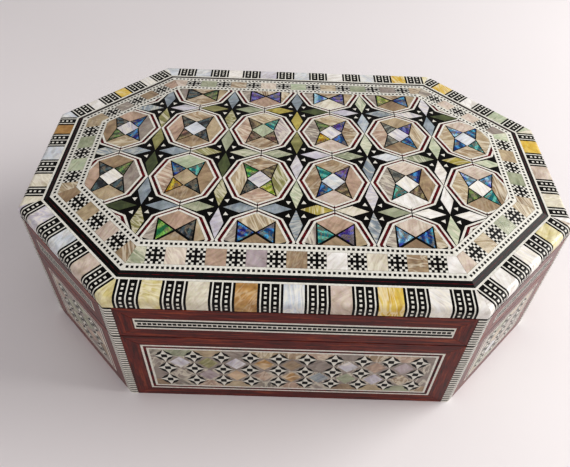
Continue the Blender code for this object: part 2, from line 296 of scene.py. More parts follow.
def tile_places(add):
    """Object coordinates in millimetres, turned and shifted by each tile's own number."""
    phase = add("Attribute", attribute_name="phase", out="Fac")
    angle = add("Math", phase, 2 * math.pi, operation="MULTIPLY")
    turned = add(
        "VectorRotate", Vector=add("TexCoord", out="Object"), Axis=(0.35, 0.45, 0.82), Angle=angle)
    shift = add("VectorMath", (0.31, 0.17, 0.23), phase, operation="MULTIPLY")
    moved = add("VectorMath", turned, shift, operation="ADD")
    return add("VectorMath", moved, 1 / MM, operation="SCALE")


def tile_colours(add, pattern, low, high):
    """A tile's two colours, mixed by where a pattern lies between two of its values."""
    tint, glint = (add("Attribute", attribute_name=name, out="Color") for name in ("tint", "glint"))
    zones = add("MapRange", pattern, low, high)
    return add("Mix", zones, tint, glint, data_type="RGBA")


def mother_of_pearl(add):
    """River-mussel and trochus shell, sawn thin, sanded flush and lacquered.

    Cloudy zones of two close colours, faint fibrous growth lines a millimetre apart, a weak pink
    and green play of colour painted in as a fixed iridescent sheen, and in some tiles crumpled bright
    veins, partly the shell's own and partly painted highlight streaks.
    """
    place = tile_places(add)
    cloud = add("TexNoise", Vector=place, Scale=0.13, Detail=3.0, Roughness=0.55, Distortion=1.4)
    colour = tile_colours(add, cloud, 0.36, 0.64)
    drawn_out = add("Mapping", Vector=place, Scale=(1.0, 0.13, 0.3))
    fibre = add("TexNoise", Vector=drawn_out, Scale=0.75, Detail=3.0, Distortion=0.6)
    lines = add("ValToRGB", fibre, stops=((0.34, "#B5ACA0"), (0.47, "#E8E4DE"), (0.62, "#FFFFFF")))
    colour = add("Mix", 0.48, colour, lines, **MULTIPLIED)
    # Play of colour: the pink, green and blue that real shell shows in light reflected from its
    # layers, painted in here as fixed colour, a painted sheen.
    play = add("TexNoise", Vector=place, Scale=0.3, Detail=1.5, Distortion=2.2)
    painted_sheen_hues = add("ValToRGB", play, stops=(
        (0.30, "#9FC4B4"), (0.42, "#E2DCB4"), (0.50, "#B4AEA6"), (0.58, "#DCB4BC"), (0.70, "#AEB8D6")))
    colour = add("Mix", 0.13, colour, painted_sheen_hues, data_type="RGBA", blend_type="OVERLAY")
    # Bright crumpled veins in some tiles: partly the shell's own veins, partly painted highlight
    # streaks off its facets.
    vein_highlight_noise = add("TexNoise", Vector=drawn_out, Scale=0.32, Detail=2.0, Distortion=1.2)
    vein_highlight_ridge = add("ValToRGB", vein_highlight_noise, stops=((0.42, "#000000"), (0.5, "#FFFFFF"), (0.58, "#000000")))
    phase = add("Attribute", attribute_name="phase", out="Fac")
    some = add("MapRange", Value=phase, From_Min=0.35, From_Max=0.8, To_Max=0.55)
    vein_and_highlight = add("Math", vein_highlight_ridge, some, operation="MULTIPLY")
    colour = add("Mix", vein_and_highlight, colour, linear("#F6F0DC"), data_type="RGBA")
    return {"Base_Color": colour, "Normal": add("Bump", 0.06, 0.05 * MM, Height=fibre)}


def abalone_shell(add):
    """Abalone, sawn thin and lacquered: two strong colours, drab patches and dark thin veins."""
    place = tile_places(add)
    swirl = add(
        "TexWave", Vector=place, Scale=0.09, Distortion=9.0, Detail=2.0, Detail_Scale=0.5, out="Fac")
    colour = tile_colours(add, swirl, 0.3, 0.9)
    drift = add("TexNoise", Vector=place, Scale=0.3, Detail=2.0, Distortion=1.0)
    hue = add("MapRange", drift, 0.3, 0.7, 0.44, 0.56)
    colour = add("HueSaturation", Hue=hue, Saturation=1.2, Value=1.15, Color=colour)
    patch = add("TexNoise", Vector=place, Scale=0.22, Detail=2.0, Distortion=1.8)
    drab = add("MapRange", Value=patch, From_Min=0.5, From_Max=0.58, To_Max=0.75)
    colour = add("Mix", drab, colour, linear("#857A68"), data_type="RGBA")
    wander = add("TexNoise", Vector=place, Scale=0.28, Detail=2.0, Distortion=3.6)
    vein = add("ValToRGB", wander, stops=(
        (0.39, "#FFFFFF"), (0.43, "#0E0D0C"), (0.46, "#FFFFFF"), (0.53, "#FFFFFF"),
        (0.56, "#0E0D0C"), (0.61, "#FFFFFF")))
    return {"Base_Color": add("Mix", 0.92, colour, vein, **MULTIPLIED)}


def camel_bone(add):
    """Bleached bone cut into thin strips: grey white, faintly mottled, with a dull polish."""
    mottle = add("TexNoise", Vector=tile_places(add), Scale=0.9, Detail=4.0, Roughness=0.6)
    colour = add("ValToRGB", mottle, stops=((0.3, "#CBC9BE"), (0.55, "#E0DFD6"), (0.75, "#ECEBE4")))
    return {"Base_Color": colour, "Normal": add("Bump", 0.08, 0.03 * MM, Height=mottle)}


def ebony_strip(add):
    """Ebony and black glue, sanded and lacquered: near black with a trace of brown grain."""
    grain = add("TexNoise", Vector=add("TexCoord", out="Object"), Scale=900.0, Detail=3.0)
    return {"Base_Color": add("ValToRGB", grain, stops=((0.35, "#050505"), (0.7, "#100D0C")))}


def red_line(add):
    """Dyed wood line, sawn to a millimetre: dark blood red to almost black along its length."""
    stain = add("TexNoise", Vector=tile_places(add), Scale=0.45, Detail=3.0)
    return {"Base_Color": add(
        "ValToRGB", stain, stops=((0.34, "#16060A"), (0.46, "#440A11"), (0.66, "#6A121B")))}


def rosewood(add):
    """Rosewood sticks under varnish.

    Red brown with darker and orange streaks along the grain a few millimetres apart, and short
    open pores half a millimetre wide. The grain follows each stick's own UV map, in millimetres.
    """
    grain = add("UVMap", uv_map="grain")
    along = add("Mapping", Vector=grain, Scale=(0.045, 0.55, 1.0))
    streak = add("TexNoise", Vector=along, Scale=1.0, Detail=5.0, Roughness=0.62, Distortion=0.9)
    colour = add("ValToRGB", streak, stops=(
        (0.28, "#2C0704"), (0.42, "#4E1009"), (0.54, "#69190D"), (0.67, "#92401D"), (0.8, "#5A140A")))
    fine = add("Mapping", Vector=grain, Scale=(0.28, 3.4, 1.0))
    pore = add("TexNoise", Vector=fine, Scale=1.0, Detail=2.0)
    dark = add("ValToRGB", pore, stops=((0.34, "#4A2C26"), (0.46, "#FFFFFF")))
    return {
        "Base_Color": add("Mix", 0.7, colour, dark, **MULTIPLIED),
        "Normal": add("Bump", 0.2, 0.06 * MM, Height=pore)}


def bare_wood(add):
    """Planed and unvarnished carcase wood, pale brown with fine straight grain."""
    place = add("Mapping", Vector=add("TexCoord", out="Object"), Scale=(40.0, 700.0, 700.0))
    grain = add("TexNoise", Vector=place, Scale=1.0, Detail=4.0)
    colour = add("ValToRGB", grain, stops=((0.3, "#7A5434"), (0.55, "#94693F"), (0.75, "#A67C50")))
    return {"Base_Color": colour, "Normal": add("Bump", 0.2, 0.08 * MM, Height=grain)}


def velvet(add):
    """Cotton velvet glued to card: dark red, with a soft sheen and pile brushed in patches."""
    place = add("TexCoord", out="Object")
    brushed = add("TexNoise", Vector=place, Scale=24.0, Detail=2.0, Distortion=0.6)
    colour = add("ValToRGB", brushed, stops=((0.3, "#4C080F"), (0.5, "#5A0A12"), (0.7, "#690E17")))
    pile = add("TexNoise", Vector=place, Scale=2600.0, Detail=2.0)
    speckle = add("ValToRGB", pile, stops=((0.35, "#9A9090"), (0.6, "#FFFFFF")))
    return {
        "Base_Color": add("Mix", 0.6, colour, speckle, **MULTIPLIED),
        "Normal": add("Bump", 0.5, 0.25 * MM, Height=pile)}


def wool_felt(add):
    """Pressed wool felt under the base: dark green, matt, with matted fibres."""
    place = add("TexCoord", out="Object")
    fibre = add("TexNoise", Vector=place, Scale=1500.0, Detail=4.0, Distortion=2.0)
    colour = add("ValToRGB", fibre, stops=((0.35, "#10231A"), (0.65, "#22402F")))
    return {"Base_Color": colour, "Normal": add("Bump", 0.6, 0.2 * MM, Height=fibre)}


def brass(add):
    """Rolled brass leaf, brushed along its length and a little tarnished."""
    place = add("TexCoord", out="Object")
    stretched = add("Mapping", Vector=place, Scale=(90.0, 4200.0, 4200.0))
    brushed = add("TexNoise", Vector=stretched, Scale=1.0, Detail=2.0)
    tarnish = add("TexNoise", Vector=place, Scale=260.0, Detail=4.0)
    colour = add("ValToRGB", tarnish, stops=((0.35, "#8F6A2C"), (0.55, "#C79A4A"), (0.75, "#DDB868")))
    return {
        "Base_Color": colour, "Roughness": add("MapRange", Value=brushed, To_Min=0.2, To_Max=0.42),
        "Normal": add("Bump", 0.1, 0.02 * MM, Height=brushed)}


def table_top(add):
    """White table top, very faintly uneven in tone."""
    shade = add("TexNoise", Vector=add("TexCoord", out="Object"), Scale=3.0, Detail=2.0)
    return {"Base_Color": add("ValToRGB", shade, stops=((0.3, "#E2DEDF"), (0.7, "#E8E4E5")))}


MULTIPLIED = {"data_type": "RGBA", "blend_type": "MULTIPLY"}
PEARL = make_material(
    "mother_of_pearl_lacquered", mother_of_pearl, Roughness=0.3, IOR=1.5, Specular_IOR_Level=0.3,
    Coat_Weight=0.3, Coat_Roughness=0.08)
PAUA = make_material(
    "abalone_shell_lacquered", abalone_shell, Roughness=0.22, IOR=1.5, Specular_IOR_Level=0.4,
    Coat_Weight=0.4, Coat_Roughness=0.06)
BONE = make_material(
    "camel_bone_polished", camel_bone, Roughness=0.42, IOR=1.5, Specular_IOR_Level=0.3)
BLACK = make_material(
    "ebony_lacquered", ebony_strip, Roughness=0.35, IOR=1.5, Specular_IOR_Level=0.12,
    Coat_Weight=0.06, Coat_Roughness=0.1)
RED = make_material("red_dyed_line", red_line, Roughness=0.38, IOR=1.5, Specular_IOR_Level=0.15)
ROSEWOOD = make_material(
    "rosewood_varnished", rosewood, Roughness=0.4, IOR=1.5, Specular_IOR_Level=0.15,
    Coat_Weight=0.32, Coat_Roughness=0.1)
BARE_WOOD = make_material("beech_planed", bare_wood, Roughness=0.7, IOR=1.5)
VELVET = make_material(
    "cotton_velvet_dark_red", velvet, Roughness=0.9, Sheen_Weight=0.7, Sheen_Roughness=0.35,
    Sheen_Tint=linear("#D8606A"))
FELT = make_material(
    "wool_felt_dark_green", wool_felt, Roughness=1.0, Sheen_Weight=0.3, Sheen_Roughness=0.6)
BRASS = make_material("brass_brushed", brass, Metallic=1.0, Roughness=0.3)


# ---------------------------------------------------------------- building pieces

def everything(bm):
    return bm.verts[:] + bm.edges[:] + bm.faces[:]


def extrude(bm, faces, move):
    """Give faces a depth and return the new points at its far end."""
    grown = bmesh.ops.extrude_face_region(bm, geom=faces)
    far = [item for item in grown["geom"] if isinstance(item, bmesh.types.BMVert)]
    bmesh.ops.translate(bm, vec=move, verts=far)
    return far


def write_object(name, bm, materials=()):
    """Turn a bmesh into an object of the scene."""
    mesh = bpy.data.meshes.new(name)
    bm.to_mesh(mesh)
    bm.free()
    for material in materials:
        mesh.materials.append(material)
    made = bpy.data.objects.new(name, mesh)
    bpy.context.scene.collection.objects.link(made)
    return made


def soften(piece, angle=None):
    """Shade a piece smooth, but for edges sharper than an angle in degrees."""
    piece.data.shade_smooth()
    if angle:
        piece.data.set_sharp_from_angle(angle=math.radians(angle))


def add_piece(name, bm, materials, body, slot, matrix=None, node=None):
    """Write a bmesh drawn in millimetres as a piece that rides on a body.

    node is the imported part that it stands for.
    """
    if matrix:
        bm.transform(matrix)
    bmesh.ops.recalc_face_normals(bm, faces=bm.faces[:])
    bmesh.ops.scale(bm, vec=(MM, MM, MM), verts=bm.verts[:])
    piece = write_object(name, bm, materials)
    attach(piece, body)
    if node:
        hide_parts(node)
    return piece


def moved_in(points, distances):
    """An anticlockwise outline with edge k, which starts at point k, moved in by distance k."""
    lines = []
    for k, point in enumerate(points):
        start = Vector(point)
        along = (Vector(points[(k + 1) % len(points)]) - start).normalized()
        lines.append((start + Vector((-along.y, along.x)) * distances[k], along))
    moved = []
    for k, (start, along) in enumerate(lines):
        before, back = lines[k - 1]
        reach = (start - before).cross(along) / back.cross(along)
        moved.append(before + back * reach)
    return moved


def anticlockwise(points):
    area = sum(
        first[0] * second[1] - second[0] * first[1]
        for first, second in zip(points, points[1:] + points[:1]))
    return points if area > 0 else points[::-1]


def rectangle(low, high):
    return [(low[0], low[1]), (high[0], low[1]), (high[0], high[1]), (low[0], high[1])]


class Inlay:
    """Tiles drawn flat as outlines, then cut out, given their depth and laid on a surface."""

    def __init__(self, materials, seed):
        self.materials = materials
        self.bm = bmesh.new()
        self.tint = self.bm.faces.layers.float_color.new("tint")
        self.glint = self.bm.faces.layers.float_color.new("glint")
        self.phase = self.bm.faces.layers.float.new("phase")
        self.chance = random.Random(seed)

    def add(self, points, material, colours=("#FFFFFF",) * 2, gap=0.0, level=0.0):
        """One tile. The gap is the glue line left on each side of it."""
        points = anticlockwise([tuple(point) for point in points])
        if gap:
            points = moved_in(points, [gap] * len(points))
        face = self.bm.faces.new([self.bm.verts.new((p[0], p[1], level)) for p in points])
        face.material_index = self.materials.index(material)
        face[self.tint] = linear(colours[0])
        face[self.glint] = linear(colours[1])
        face[self.phase] = self.chance.random()

    def shell(self, points, colour, gap=GLUE, level=0.0):
        self.add(points, PEARL, SHELL[colour], gap, level)

    def rings(self, outline, widths, materials, level=0.0):
        """Mitred strips inside an outline. widths has a width for each edge of each ring."""
        for width, material in zip(widths, materials):
            inner = moved_in(outline, width)
            for k in range(len(outline)):
                after = (k + 1) % len(outline)
                self.add([outline[k], outline[after], inner[after], inner[k]], material, level=level)
            outline = inner
        return outline

    def keep_inside(self, outline):
        """Cut every tile off at a convex anticlockwise outline."""
        for first, second in zip(outline, outline[1:] + outline[:1]):
            along = Vector(second) - Vector(first)
            bmesh.ops.bisect_plane(
                self.bm, geom=everything(self.bm), dist=TOUCH, plane_co=(*first, 0.0),
                plane_no=(along.y, -along.x, 0.0), clear_outer=True)

    def deepen(self):
        """Give the tiles their depth, downwards."""
        extrude(self.bm, self.bm.faces[:], (0.0, 0.0, -TILE))

    def split(self, point, normal):
        """Cut tiles across where they bend, without parting them."""
        bmesh.ops.bisect_plane(
            self.bm, geom=everything(self.bm), dist=TOUCH, plane_co=point, plane_no=normal)

    def crease_at_mitres(self):
        """Let the tiles bend where the slopes of the top meet."""
        for outer, inner in zip(octagon(0.0), octagon(10.0)):
            along = Vector(inner) - Vector(outer)
            self.split((*outer, 0.0), (along.y, -along.x, 0.0))
        self.split((0.0, 0.0, 0.0), (0.0, 1.0, 0.0))

    def lay(self, surface):
        """Bend the tiles onto a surface, the proudest of them flush with it."""
        for vert in self.bm.verts:
            vert.co = surface(vert.co - Vector((0.0, 0.0, 2 * SET_IN)))

    def write(self, name, body, slot, matrix=None, node=None):
        return add_piece(name, self.bm, self.materials, body, slot, matrix, node)

    def finish(self, surface, *words, **more):
        """Deepen the tiles, lay them on a surface and write them as a piece."""
        self.deepen()
        self.lay(surface)
        self.write(*words, **more)


def cut_solid(bm, point, normal):
    """Cut solids with a plane, drop what lies on the normal's side and close the cuts."""
    cut = bmesh.ops.bisect_plane(
        bm, geom=everything(bm), dist=TOUCH, plane_co=point, plane_no=normal, clear_outer=True)
    edges = [item for item in cut["geom_cut"] if isinstance(item, bmesh.types.BMEdge)]
    bmesh.ops.holes_fill(bm, edges=edges, sides=0)


def cut_mitres(bm, length, joint=JOINT):
    """Cut both ends of a side drawn as the front one along the corners' mitres."""
    for end in (-1, 1):
        cut_solid(bm, (end * (length / 2 - joint), 0.0, 0.0), (end, MITRE, 0.0))


def loft(profile, closed):
    """Join octagons given as (inset, height) corner to corner; a closed profile makes a ring."""
    bm = bmesh.new()
    loops = [[bm.verts.new((x, y, height)) for x, y in octagon(inset)] for inset, height in profile]
    pairs = list(zip(loops, loops[1:]))
    if closed:
        pairs.append((loops[-1], loops[0]))
    else:
        bm.faces.new(loops[0])
        bm.faces.new(loops[-1])
    for first, second in pairs:
        for k in range(8):
            bm.faces.new((first[k - 1], first[k], second[k], second[k - 1]))
    return bm


def stop_bevel(bm, body):
    """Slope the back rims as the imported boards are, down on the base and up on the lid."""
    rise = -1 if body == "base" else 1
    slope = math.radians(50.0)
    normal = Vector((0.0, math.sin(slope), -rise * math.cos(slope)))
    cut_solid(bm, Vector((0.0, HINGE_Y, HINGE_Z)) - normal * 0.1, normal)


def block(size):
    bm = bmesh.new()
    bmesh.ops.create_cube(bm, size=1.0)
    bmesh.ops.scale(bm, vec=size, verts=bm.verts)
    return bm


def carve(piece, tool):
    """Cut a closed bmesh, drawn in millimetres, out of a finished piece."""
    bmesh.ops.recalc_face_normals(tool, faces=tool.faces[:])
    bmesh.ops.scale(tool, vec=(MM, MM, MM), verts=tool.verts[:])
    cutter = write_object("tool", tool)
    cut = piece.modifiers.new("cut", "BOOLEAN")
    cut.operation = "DIFFERENCE"
    cut.solver = "EXACT"
    cut.object = cutter
    seen = piece.evaluated_get(bpy.context.evaluated_depsgraph_get())
    finished = bpy.data.meshes.new_from_object(seen)
    piece.modifiers.clear()
    piece.data = finished
    bpy.data.objects.remove(cutter)


# ---------------------------------------------------------------- border of the top

# Bars along each side from its left end, how many black strips with squares each has, and the
# shells from corner to corner between them
BORDER_BARS = {
    "front": (-65.3, -47.2, -28.7, -10.0, 8.3, 26.7, 46.7, 65.0),
    "front_right": (-25.0, -7.5, 10.5, 27.4), "right": (-26.7, -10.0, 9.2, 26.7),
    "back_right": (-24.6, -6.5, 10.6, 27.4),
    "back": (-65.6, -47.8, -30.0, -11.2, 7.2, 26.3, 44.2, 62.5),
    "back_left": (-24.6, -8.4, 7.8, 24.0), "left": (-27.2, -12.0, 7.5, 24.2),
    "front_left": (-28.2, -12.0, 6.0, 24.2)}
BAR_ROWS = {
    "front": "22222222", "front_right": "2221", "right": "1221", "back_right": "2221",
    "back": "22222222", "back_left": "2222", "left": "1221", "front_left": "1222"}
BORDER_SHELLS = {
    "front": "butter butter cream amber ice blush yellow white white",
    "front_right": "white white white butter blush",
    "right": "white cream blush yellow cream",
    "back_right": "mint mint white yellow white",
    "back": "butter yellow ice white ice lilac white ice ice",
    "back_left": "ice white yellow white ice",
    "left": "ice amber ice cream cream",
    "front_left": "lilac lilac ice blush butter"}


def bar_strips(rows):
    """Width, material and whether squares are set in it, for each strip across a bar."""
    black_line = (BAR_LINE, BLACK, False)
    bone_line = (BAR_BONE, BONE, False)
    strip = [(BAR_STRIP, BLACK, True), bone_line]
    return [black_line, bone_line] + strip * rows + [black_line]


def border_side(inlay, side, run_end):
    shells = BORDER_SHELLS[side].split()
    _, length = side_frame(SIDES.index(side))
    edge = -length / 2
    for centre, rows, shell in zip(BORDER_BARS[side], BAR_ROWS[side], shells):
        strips = bar_strips(int(rows))
        width = sum(strip[0] for strip in strips)
        left = centre - width / 2
        if left > edge:
            inlay.shell(rectangle((edge, 0.0), (left, run_end)), shell)
        edge = left
        for strip_width, material, dotted in strips:
            inlay.add(rectangle((edge, 0.0), (edge + strip_width, run_end)), material, gap=0.01)
            if dotted:
                middle = edge + strip_width / 2
                for count in range(int((run_end - 0.5) / BAR_DOT_PITCH)):
                    low = 0.7 + count * BAR_DOT_PITCH + inlay.chance.uniform(-0.08, 0.08)
                    square = rectangle(
                        (middle - BAR_DOT / 2, low), (middle + BAR_DOT / 2, low + BAR_DOT))
                    inlay.add(square, BONE, level=SET_IN)
            edge += strip_width
    inlay.shell(rectangle((edge, 0.0), (length / 2, run_end)), shells[-1])


def make_border():
    """Shell pieces and striped bars that run up the lip and over the border, on a dark ground."""
    run_end = BORDER_RUN - BORDER_BONE
    arc_steps = 7
    creases = [LIP + BORDER_ARC * step / arc_steps for step in range(arc_steps + 1)]
    for index, side in enumerate(SIDES):
        inlay = Inlay([PEARL, BONE, BLACK], seed=100 + index)
        border_side(inlay, side, run_end)
        inlay.deepen()
        for run in creases:
            inlay.split((0.0, run, 0.0), (0.0, 1.0, 0.0))
        inlay.lay(on_border)
        matrix, length = side_frame(index)
        cut_mitres(inlay.bm, length, joint=0.02)
        inlay.write(f"border_inlay_{side}", "lid", "pearl_inlay", matrix)

    line = Inlay([BONE], seed=120)
    line.rings(octagon(BORDER_WIDTH - BORDER_BONE), [[BORDER_BONE - 0.1] * 8], [BONE])
    line.finish(on_top, "border_bone_line", "lid", "bone_thread")

    drop, thick = 0.45, 2.0
    centre = BORDER_FOOT + LIP
    profile = [(thick, BORDER_FOOT), (drop, BORDER_FOOT)]
    for step in range(5):
        angle = step / 4 * math.pi / 2
        round_off = BORDER_ROUND - drop
        profile.append(
            (BORDER_ROUND - round_off * math.cos(angle), centre + round_off * math.sin(angle)))
    last = BORDER_WIDTH - 0.1
    profile += [(last, top_height(last) - drop), (last, top_height(last) - thick)]
    profile.append((thick, top_height(thick) - thick))
    add_piece("border_ground", loft(profile, True), [BLACK], "lid", "ebony_band", node="top_border")


# ---------------------------------------------------------------- bands of the top

CHECK_PLACES = {
    "long": [16.2 * (step - 3.5) for step in range(8)],
    "slant": [-15.2, 0.0, 15.2],
    "short": [-16.4, 0.0, 16.4]}
CHECK_SHELLS = {
    "front": "sage blush rose mauve tan white cream tan white",
    "front_left": "tan sand blush tan",
    "left": "sand sage mint sand",
    "right": "tan sage sand mint"}
SHELLS_BETWEEN = ("sand", "tan", "rose", "sage", "mint", "blush", "taupe", "cream")


def side_plan(index):
    """Turns (along, inset) on a side into a point of the plan."""
    matrix, length = side_frame(index)

    def place(u, inset):
        point = matrix @ Vector((u, inset, 0.0))
        return (point.x, point.y)
    return place, length


def plan_box(place, low, high):
    return [place(u, inset) for u, inset in rectangle(low, high)]


def dot_row(inlay, draw, half, middle, wide, tall):
    """A row of ebony squares set in bone, none quite in place; wide and tall are half sizes."""
    count = int(2 * half / THREAD_DOT_PITCH)
    for dot in range(count):
        u = (dot - (count - 1) / 2) * THREAD_DOT_PITCH + inlay.chance.uniform(-0.06, 0.06)
        slip = inlay.chance.uniform(-0.05, 0.05)
        square = draw((u - wide, middle - tall + slip), (u + wide, middle + tall + slip))
        inlay.add(square, BLACK, level=SET_IN)


def make_threads():
    """Two bone strips with a row of ebony squares, mitred at the corners."""
    names = (
        ("outer_thread", OUTER_THREAD_INSET, "top_outer_thread"),
        ("inner_thread", INNER_THREAD_INSET, "top_inner_thread"))
    for number, (name, start, node) in enumerate(names):
        inlay = Inlay([BONE, BLACK], seed=130 + number)
        inlay.rings(octagon(start + BAND_GAP), [[THREAD_WIDTH - 2 * BAND_GAP] * 8], [BONE])
        middle = start + THREAD_WIDTH / 2
        for index in range(8):
            place, length = side_plan(index)
            half = length / 2 - middle * MITRE
            dot_row(inlay, partial(plan_box, place), half, middle, THREAD_DOT / 2, THREAD_DOT / 2)
        inlay.finish(on_top, name, "lid", "bone_thread", node=node)


def make_black_band():
    inlay = Inlay([BLACK, RED], seed=140)
    widths = [[width] * 8 for width in BLACK_BAND]
    inlay.rings(octagon(BLACK_INSET + BAND_GAP), widths, [BLACK, RED, BLACK])
    inlay.finish(on_top, "black_band", "lid", "ebony_band", node="top_black_band")


def check_square(inlay, place, centre):
    """An ebony square with small bone squares set in it, seven cells a side."""
    low = (centre - CHECK_LENGTH / 2, CHECK_INSET + 0.05)
    high = (centre + CHECK_LENGTH / 2, INNER_THREAD_INSET - 0.05)
    inlay.add(plan_box(place, low, high), BLACK)
    rows = len(CHECK_CELLS)
    wide = (high[0] - low[0]) / rows
    deep = (high[1] - low[1]) / rows
    for row, cells in enumerate(CHECK_CELLS):
        for column, cell in enumerate(cells):
            if cell == "W":
                u, v = low[0] + column * wide, low[1] + row * deep
                square = plan_box(
                    place, (u + CELL_GAP, v + CELL_GAP), (u + wide - CELL_GAP, v + deep - CELL_GAP))
                inlay.add(square, BONE, level=SET_IN)


def make_check_band():
    """Check squares with shell pieces between them, mitred at the corners."""
    inlay = Inlay([PEARL, BLACK, BONE], seed=150)
    for index, side in enumerate(SIDES):
        place, length = side_plan(index)
        checks = CHECK_PLACES[("long", "slant", "short", "slant")[index % 4]]
        wanted = CHECK_SHELLS.get(side, "").split()
        edges = [None] + checks + [None]
        for number, (before, after) in enumerate(zip(edges, edges[1:])):
            colour = wanted[number] if wanted else inlay.chance.choice(SHELLS_BETWEEN)
            outer = length / 2 - CHECK_INSET * MITRE
            inner = length / 2 - INNER_THREAD_INSET * MITRE
            left = (-outer, -inner) if before is None else (before + CHECK_LENGTH / 2,) * 2
            right = (outer, inner) if after is None else (after - CHECK_LENGTH / 2,) * 2
            inlay.shell(
                [place(left[0], CHECK_INSET), place(right[0], CHECK_INSET),
                 place(right[1], INNER_THREAD_INSET), place(left[1], INNER_THREAD_INSET)], colour)
        for centre in checks:
            check_square(inlay, place, centre)
    inlay.finish(on_top, "check_band", "lid", "check_inlay", node="top_check_band")


# ---------------------------------------------------------------- field of the top

# Rows of octagons from the back, columns from the left. Each has its square, its abalone pieces
# (back left, back right, front left, front right) and its shells (back, left, right, front)
OCTAGONS = (
    ("lilac/ink cobalt fern cobalt/rose tan taupe sand",
     "ice/ink ink umber ink/tan rose sand tan",
     "mint/umber teal umber umber/sand rose mauve tan",
     "lilac/fern violet amber cobalt/sand taupe tan blush",
     "lilac/smoke violet smoke cobalt/sand rose sand tan",
     "ice/azure cobalt cobalt teal/blush sand sand tan"),
    ("white/ink fern ink ink/tan rose taupe sand",
     "sand/cobalt teal amber ink/mint rose tan tan",
     "lilac/green umber ink lime/tan sand olive rose",
     "ice/teal violet cobalt umber/tan tan rose blush",
     "white/smoke cobalt teal umber/blush taupe tan white",
     "white/azure azure fern teal/blush sand tan tan"))
# Cut octagons along the front and the back: two abalone pieces and the shell between them
CUT_OCTAGONS = (
    ("ink ink/tan", "ink fern/tan", "violet violet/rose", "azure violet/cream", "lime cobalt/tan",
     "ink ink/sand"),
    ("ink ink/sand", "green ink/rose", "cobalt cobalt/sand", "teal violet/rose", "azure cobalt/blush",
     "ink ink/tan"))
# Rhombi round each star: back, front, left, right. Rows from the back, columns from the left
STARS = (
    ("slate olive slate slate", "slate olive slate lilac", "slate olive olive sage",
     "slate gold gold moss", "mint sky lilac slate", "lilac slate lilac moss",
     "slate ice lilac slate"),
    ("slate olive slate slate", "olive moss slate slate", "sage moss olive sage",
     "olive lilac sage lilac", "mint slate sage ice", "mint white sage gold",
     "ice white mint slate"),
    ("olive moss slate moss", "slate olive moss slate", "olive lilac sage slate",
     "mint slate slate gold", "lilac slate cream sage", "white mint white white",
     "white white white white"))


def shifted(points, centre):
    return [(x + centre[0], y + centre[1]) for x, y in points]


def field_place(column, row):
    """Place in the field, counted in octagons from its middle."""
    return PITCH_X * column + FIELD_SHIFT, PITCH_Y * row


def frame_octagon(inlay, centre):
    """Bone, red and bone strips round an octagon. Returns the outline of the room inside them."""
    line = 0.1
    across, up = PITCH_X / 2 - line, PITCH_Y / 2 - line
    side, rise = OCTAGON_DIAGONAL
    outline = [
        (across, 0.0), (side, rise), (0.0, up), (-side, rise),
        (-across, 0.0), (-side, -rise), (0.0, -up), (side, -rise)]
    widths = [
        [steep, shallow, shallow, steep] * 2
        for steep, shallow in zip(STEEP_WIDTHS, SHALLOW_WIDTHS)]
    room = inlay.rings(shifted(outline, centre), widths, [BONE, RED, BONE])
    return shifted(room, (-centre[0], -centre[1]))


def abalone(inlay, points, colour):
    inlay.add(points, PAUA, ABALONE[colour], gap=ABALONE_LINE)


def fill_octagon(inlay, centre, colours):
    """Square, four abalone pieces and four shells that meet at the square's tips."""
    square, dark, light = (part.split() for part in colours.split("/"))
    room = frame_octagon(inlay, centre)
    tips = [(SQUARE_TIP, 0.0), (0.0, SQUARE_TIP), (-SQUARE_TIP, 0.0), (0.0, -SQUARE_TIP)]
    inlay.shell(shifted(tips, centre), square[0])
    back_left, back_right, front_left, front_right = dark
    for turn, colour in enumerate((back_right, back_left, front_left, front_right)):
        corner = room[2 * turn + 1]
        points = [tips[turn], corner, tips[(turn + 1) % 4]]
        abalone(inlay, shifted(points, centre), colour)
    back, left, right, front = light
    for turn, colour in enumerate((right, back, left, front)):
        points = [room[2 * turn - 1], room[2 * turn], room[2 * turn + 1], tips[turn]]
        inlay.shell(shifted(points, centre), colour)


def fill_cut_octagon(inlay, centre, inward, colours):
    """Half an octagon at the front or the back edge: a bow of two abalone pieces."""
    dark, light = (part.split() for part in colours.split("/"))
    room = frame_octagon(inlay, centre)
    right_corner, tip, left_corner = (room[k] for k in (1, 2, 3))
    knot, foot, foot_low, overlap = 4.3, 7.8, -1.6, 0.8
    bows = (
        [left_corner, (-foot, foot_low), (0.0, knot)],
        [right_corner, (0.0, knot), (foot, foot_low)])
    shells = (
        [right_corner, tip, left_corner, (0.0, knot + 0.3)],
        [left_corner, room[4], (-foot - 0.4, foot_low)],
        [right_corner, (foot + 0.4, foot_low), room[0]],
        [(-foot + overlap, foot_low), (foot - overlap, foot_low), (0.0, knot - 0.7)])

    def place(points):
        return shifted([(x, y * inward) for x, y in points], centre)
    for points, colour in zip(bows, dark):
        abalone(inlay, place(points), colour)
    for points, colour in zip(shells, (light[0], "taupe", "sand", "tan")):
        inlay.shell(place(points), colour)


def fill_star(inlay, centre, colours):
    """Four rhombi that point at each other and a small bone triangle between each two."""
    back, front, left, right = colours.split()
    tall, wide, half = PITCH_Y / 2 - 0.2, PITCH_X / 2 - 0.3, 2.95
    near, gap = 0.25, 1.7
    for sign, colour in ((1, back), (-1, front)):
        points = [
            (0.0, near * sign), (half, tall / 2 * sign), (0.0, tall * sign), (-half, tall / 2 * sign)]
        inlay.shell(shifted(points, centre), colour)
    for sign, colour in ((1, right), (-1, left)):
        middle = (gap + wide) / 2
        points = [(gap * sign, 0.0), (middle * sign, half), (wide * sign, 0.0), (middle * sign, -half)]
        inlay.shell(shifted(points, centre), colour)
    for across in (-1, 1):
        for up in (-1, 1):
            turn = inlay.chance.choice((0.5, 1.0, 1.5)) * math.pi + inlay.chance.uniform(-0.3, 0.3)
            middle = (centre[0] + across * 3.35, centre[1] + up * 3.85)
            turns = [turn + step * 2 * math.pi / 3 for step in range(3)]
            points = [(BONE_TRIANGLE * math.cos(t), BONE_TRIANGLE * math.sin(t)) for t in turns]
            inlay.add(shifted(points, middle), BONE)


